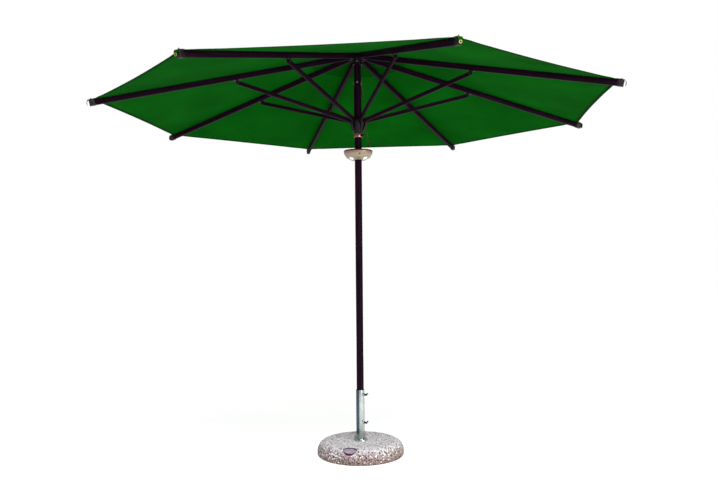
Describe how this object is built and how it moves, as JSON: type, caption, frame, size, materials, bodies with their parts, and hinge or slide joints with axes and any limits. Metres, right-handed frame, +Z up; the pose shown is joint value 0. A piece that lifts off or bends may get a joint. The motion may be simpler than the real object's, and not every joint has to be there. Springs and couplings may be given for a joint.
{
  "type": "patio umbrella with base",
  "caption": "Folding centre-pole patio umbrella with radial ribs and struts, pulley hoist, clip-on lamp and a round concrete foot with a clamp tube.",
  "frame": {"origin": "centre of the underside of the concrete foot", "axes": "+Z up along the mast; +X and -Y lie midway between neighbouring ribs"},
  "size_m": [2.7884, 2.7884, 2.4201],
  "materials": {
    "badge": "satin enamel with a raised rim",
    "board_white": "white solder mask",
    "brass": "dull brass",
    "concrete": "exposed washed gravel in grey cement",
    "copper_collar": "rose metallic",
    "cord": "braided polyester",
    "dark_screw": "black, semi-gloss",
    "fitting_steel": "black coated steel",
    "galvanised_steel": "hot-dip galvanised, dull spangle",
    "green_cloth": "plain-weave awning cloth",
    "hub_black": "moulded, satin",
    "lamp_beige": "champagne satin shell",
    "lens_white": "frosted lens",
    "mahogany_stain": "dark mahogany stain, satin lacquer",
    "zinc_fastener": "zinc plated"
  },
  "bodies": {
    "stand": {"concrete_base": "concrete", "badge_plate": "badge", "stem_flange": "galvanised_steel", "flange_bolts": "zinc_fastener", "stem_tube": "galvanised_steel", "clamp_nuts": "galvanised_steel"},
    "clamp_screw_upper": {"clamp_screw_upper": "dark_screw"},
    "clamp_screw_lower": {"clamp_screw_lower": "dark_screw"},
    "mast_foot": {"mast_foot": "hub_black"},
    "mast": {"mast": "mahogany_stain", "pulley_axle": "zinc_fastener", "top_hub": "hub_black", "rib_pins": "zinc_fastener", "hub_bolt": "zinc_fastener", "canopy_crown": "green_cloth", "finial": "mahogany_stain", "hoist_cord": "cord", "cord_knots": "cord"},
    "pulley_wheel": {"pulley_wheel": "brass"},
    "rib_1": {"rib_1": "mahogany_stain", "rib_fittings_1": "fitting_steel", "canopy_gore_1": "green_cloth"},
    "strut_1": {"strut_1": "mahogany_stain"},
    "rib_2": {"rib_2": "mahogany_stain", "rib_fittings_2": "fitting_steel", "canopy_gore_2": "green_cloth"},
    "strut_2": {"strut_2": "mahogany_stain"},
    "rib_3": {"rib_3": "mahogany_stain", "rib_fittings_3": "fitting_steel", "canopy_gore_3": "green_cloth"},
    "strut_3": {"strut_3": "mahogany_stain"},
    "rib_4": {"rib_4": "mahogany_stain", "rib_fittings_4": "fitting_steel", "canopy_gore_4": "green_cloth"},
    "strut_4": {"strut_4": "mahogany_stain"},
    "rib_5": {"rib_5": "mahogany_stain", "rib_fittings_5": "fitting_steel", "canopy_gore_5": "green_cloth"},
    "strut_5": {"strut_5": "mahogany_stain"},
    "rib_6": {"rib_6": "mahogany_stain", "rib_fittings_6": "fitting_steel", "canopy_gore_6": "green_cloth"},
    "strut_6": {"strut_6": "mahogany_stain"},
    "rib_7": {"rib_7": "mahogany_stain", "rib_fittings_7": "fitting_steel", "canopy_gore_7": "green_cloth"},
    "strut_7": {"strut_7": "mahogany_stain"},
    "rib_8": {"rib_8": "mahogany_stain", "rib_fittings_8": "fitting_steel", "canopy_gore_8": "green_cloth"},
    "strut_8": {"strut_8": "mahogany_stain"},
    "runner": {"runner": "hub_black", "strut_pins": "zinc_fastener", "runner_collar": "copper_collar"},
    "lock_knob": {"lock_knob": "hub_black"},
    "lamp": {"lamp_body": "lamp_beige", "lamp_cover": "lamp_beige", "lamp_lenses": "lens_white", "lamp_led_board": "board_white"},
    "lamp_button": {"lamp_button": "hub_black"}
  },
  "joints": [
    {"name": "clamp_screw_upper_turn", "type": "hinge", "parent": "stand", "child": "clamp_screw_upper", "pos_m": [0.02457, -0.01721, 0.353], "axis": [0.8192, -0.5736, 0], "range_deg": [0, 720]},
    {"name": "clamp_screw_lower_turn", "type": "hinge", "parent": "stand", "child": "clamp_screw_lower", "pos_m": [0.02457, -0.01721, 0.19], "axis": [0.8192, -0.5736, 0], "range_deg": [0, 720]},
    {"name": "mast_lift", "type": "slide", "parent": "stand", "child": "mast_foot", "axis": [0, 0, 1], "range_m": [0, 0.26]},
    {"name": "mast_swivel", "type": "hinge", "parent": "mast_foot", "child": "mast", "pos_m": [0, 0, 0.094], "axis": [0, 0, 1], "continuous": true},
    {"name": "pulley_spin", "type": "hinge", "parent": "mast", "child": "pulley_wheel", "pos_m": [0, 0, 2.2], "axis": [0, 1, 0], "continuous": true},
    {"name": "rib_1_fold", "type": "hinge", "parent": "mast", "child": "rib_1", "pos_m": [0.03973, 0.01646, 2.349], "axis": [-0.3827, 0.9239, 0], "range_deg": [0, 72], "deforming": ["canopy_gore_1"]},
    {"name": "strut_1_fold", "type": "hinge", "parent": "rib_1", "child": "strut_1", "pos_m": [0.65322, 0.27057, 2.15898], "axis": [-0.3827, 0.9239, 0], "range_deg": [-144, 0]},
    {"name": "rib_2_fold", "type": "hinge", "parent": "mast", "child": "rib_2", "pos_m": [0.01646, 0.03973, 2.349], "axis": [-0.9239, 0.3827, 0], "range_deg": [0, 72], "deforming": ["canopy_gore_2"]},
    {"name": "strut_2_fold", "type": "hinge", "parent": "rib_2", "child": "strut_2", "pos_m": [0.27057, 0.65322, 2.15898], "axis": [-0.9239, 0.3827, 0], "range_deg": [-144, 0]},
    {"name": "rib_3_fold", "type": "hinge", "parent": "mast", "child": "rib_3", "pos_m": [-0.01646, 0.03973, 2.349], "axis": [-0.9239, -0.3827, 0], "range_deg": [0, 72], "deforming": ["canopy_gore_3"]},
    {"name": "strut_3_fold", "type": "hinge", "parent": "rib_3", "child": "strut_3", "pos_m": [-0.27057, 0.65322, 2.15898], "axis": [-0.9239, -0.3827, 0], "range_deg": [-144, 0]},
    {"name": "rib_4_fold", "type": "hinge", "parent": "mast", "child": "rib_4", "pos_m": [-0.03973, 0.01646, 2.349], "axis": [-0.3827, -0.9239, 0], "range_deg": [0, 72], "deforming": ["canopy_gore_4"]},
    {"name": "strut_4_fold", "type": "hinge", "parent": "rib_4", "child": "strut_4", "pos_m": [-0.65322, 0.27057, 2.15898], "axis": [-0.3827, -0.9239, 0], "range_deg": [-144, 0]},
    {"name": "rib_5_fold", "type": "hinge", "parent": "mast", "child": "rib_5", "pos_m": [-0.03973, -0.01646, 2.349], "axis": [0.3827, -0.9239, 0], "range_deg": [0, 72], "deforming": ["canopy_gore_5"]},
    {"name": "strut_5_fold", "type": "hinge", "parent": "rib_5", "child": "strut_5", "pos_m": [-0.65322, -0.27057, 2.15898], "axis": [0.3827, -0.9239, 0], "range_deg": [-144, 0]},
    {"name": "rib_6_fold", "type": "hinge", "parent": "mast", "child": "rib_6", "pos_m": [-0.01646, -0.03973, 2.349], "axis": [0.9239, -0.3827, 0], "range_deg": [0, 72], "deforming": ["canopy_gore_6"]},
    {"name": "strut_6_fold", "type": "hinge", "parent": "rib_6", "child": "strut_6", "pos_m": [-0.27057, -0.65322, 2.15898], "axis": [0.9239, -0.3827, 0], "range_deg": [-144, 0]},
    {"name": "rib_7_fold", "type": "hinge", "parent": "mast", "child": "rib_7", "pos_m": [0.01646, -0.03973, 2.349], "axis": [0.9239, 0.3827, 0], "range_deg": [0, 72], "deforming": ["canopy_gore_7"]},
    {"name": "strut_7_fold", "type": "hinge", "parent": "rib_7", "child": "strut_7", "pos_m": [0.27057, -0.65322, 2.15898], "axis": [0.9239, 0.3827, 0], "range_deg": [-144, 0]},
    {"name": "rib_8_fold", "type": "hinge", "parent": "mast", "child": "rib_8", "pos_m": [0.03973, -0.01646, 2.349], "axis": [0.3827, 0.9239, 0], "range_deg": [0, 72], "deforming": ["canopy_gore_8"]},
    {"name": "strut_8_fold", "type": "hinge", "parent": "rib_8", "child": "strut_8", "pos_m": [0.65322, -0.27057, 2.15898], "axis": [0.3827, 0.9239, 0], "range_deg": [-144, 0]},
    {"name": "runner_level", "type": "hinge", "parent": "strut_1", "child": "runner", "pos_m": [0.03973, 0.01646, 1.96897], "axis": [-0.3827, 0.9239, 0], "range_deg": [0, 72]},
    {"name": "lock_knob_turn", "type": "hinge", "parent": "runner", "child": "lock_knob", "pos_m": [0.02457, -0.01721, 1.88247], "axis": [0.8192, -0.5736, 0], "range_deg": [0, 360]},
    {"name": "lamp_slide", "type": "slide", "parent": "mast", "child": "lamp", "axis": [0, 0, -1], "range_m": [0, 1.34]},
    {"name": "lamp_button_press", "type": "slide", "parent": "lamp", "child": "lamp_button", "axis": [-0.1993, 0.83, 0.521], "range_m": [0, 0.0015], "stiffness_N_per_m": 400, "springref_m": -0.001}
  ],
  "couplings": [
    {"joint": "strut_1_fold", "follows": "rib_1_fold", "ratio": -2},
    {"joint": "rib_2_fold", "follows": "rib_1_fold", "ratio": 1},
    {"joint": "strut_2_fold", "follows": "rib_1_fold", "ratio": -2},
    {"joint": "rib_3_fold", "follows": "rib_1_fold", "ratio": 1},
    {"joint": "strut_3_fold", "follows": "rib_1_fold", "ratio": -2},
    {"joint": "rib_4_fold", "follows": "rib_1_fold", "ratio": 1},
    {"joint": "strut_4_fold", "follows": "rib_1_fold", "ratio": -2},
    {"joint": "rib_5_fold", "follows": "rib_1_fold", "ratio": 1},
    {"joint": "strut_5_fold", "follows": "rib_1_fold", "ratio": -2},
    {"joint": "rib_6_fold", "follows": "rib_1_fold", "ratio": 1},
    {"joint": "strut_6_fold", "follows": "rib_1_fold", "ratio": -2},
    {"joint": "rib_7_fold", "follows": "rib_1_fold", "ratio": 1},
    {"joint": "strut_7_fold", "follows": "rib_1_fold", "ratio": -2},
    {"joint": "rib_8_fold", "follows": "rib_1_fold", "ratio": 1},
    {"joint": "strut_8_fold", "follows": "rib_1_fold", "ratio": -2},
    {"joint": "runner_level", "follows": "rib_1_fold", "ratio": 1},
    {"joint": "lamp_slide", "follows": "rib_1_fold", "m_per_rad": 1.0624}
  ]
}
